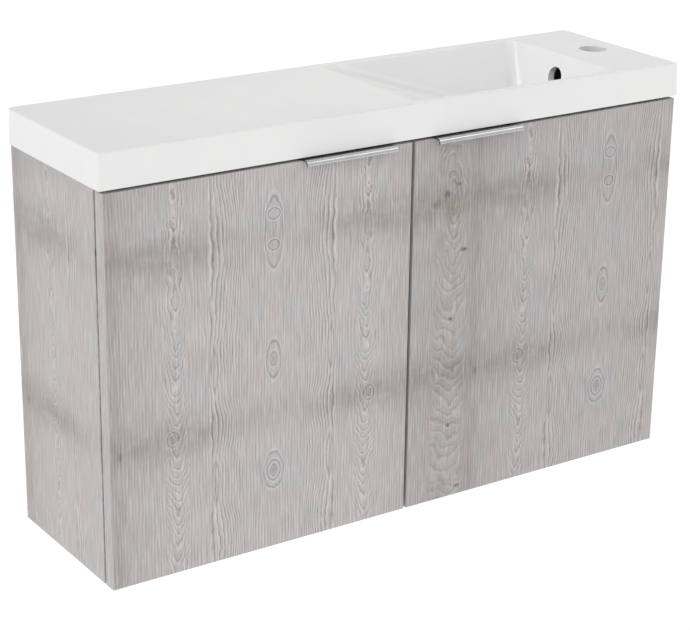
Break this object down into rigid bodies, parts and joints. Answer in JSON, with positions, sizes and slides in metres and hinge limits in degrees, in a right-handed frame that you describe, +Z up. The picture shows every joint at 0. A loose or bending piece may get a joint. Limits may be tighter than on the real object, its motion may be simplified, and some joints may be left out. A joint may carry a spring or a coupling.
{
  "type": "wall-hung vanity unit",
  "caption": "Slim wall-hung vanity unit: a shallow cast basin with a flat shelf and a sloped bowl, on a cabinet with hinged doors, edge-pull handles and an inner shelf.",
  "frame": {"origin": "rear bottom edge of the cabinet, at mid width, on the wall plane", "axes": "+Z up, +X to the right seen from the front, -Y out of the wall towards the user"},
  "size_m": [0.803, 0.232, 0.505],
  "materials": {
    "basin_white": "gloss white cast mineral resin",
    "wood_board": "grey-washed pine foil, embossed grain",
    "back_board": "thin fibreboard, pale grey face",
    "beech": "plain beech",
    "handle_metal": "satin anodised",
    "nickel": "nickel plated",
    "bright_steel": "bright zinc plated",
    "zinc": "zinc plated",
    "silicone": "white sealant",
    "clear_bumper": "clear soft plastic"
  },
  "bodies": {
    "carcass": {"basin": "basin_white", "overflow_channel": "basin_white", "silicone_beads": "silicone", "side_panel_left": "wood_board", "side_panel_right": "wood_board", "bottom_panel": "wood_board", "front_rail": "wood_board", "shelf": "wood_board", "back_panel": "back_board", "shelf_pins": "bright_steel", "carcass_dowels": "beech", "cam_bolts": "bright_steel", "cam_locks": "zinc", "hanger_bodies": "zinc", "hanger_hooks": "zinc", "hanger_screws": "bright_steel", "wall_plates": "zinc", "hinge_arms_left": "nickel", "hinge_plates_left": "nickel", "hinge_plate_screws_left": "bright_steel", "hinge_arm_screws_left": "bright_steel", "hinge_arms_right": "nickel", "hinge_plates_right": "nickel", "hinge_plate_screws_right": "bright_steel", "hinge_arm_screws_right": "bright_steel"},
    "door_left": {"door_left": "wood_board", "handle_left": "handle_metal", "handle_screws_left": "bright_steel", "bumpers_left": "clear_bumper", "hinge_cups_left": "nickel", "cup_screws_left": "bright_steel", "hinge_pins_left": "bright_steel"},
    "door_right": {"door_right": "wood_board", "handle_right": "handle_metal", "handle_screws_right": "bright_steel", "bumpers_right": "clear_bumper", "hinge_cups_right": "nickel", "cup_screws_right": "bright_steel", "hinge_pins_right": "bright_steel"}
  },
  "joints": [
    {"name": "door_left_hinge", "type": "hinge", "parent": "carcass", "child": "door_left", "pos_m": [-0.39, -0.212, 0.215], "axis": [0, 0, -1], "range_deg": [0, 110]},
    {"name": "door_right_hinge", "type": "hinge", "parent": "carcass", "child": "door_right", "pos_m": [0.39, -0.212, 0.215], "axis": [0, 0, 1], "range_deg": [0, 110]}
  ]
}
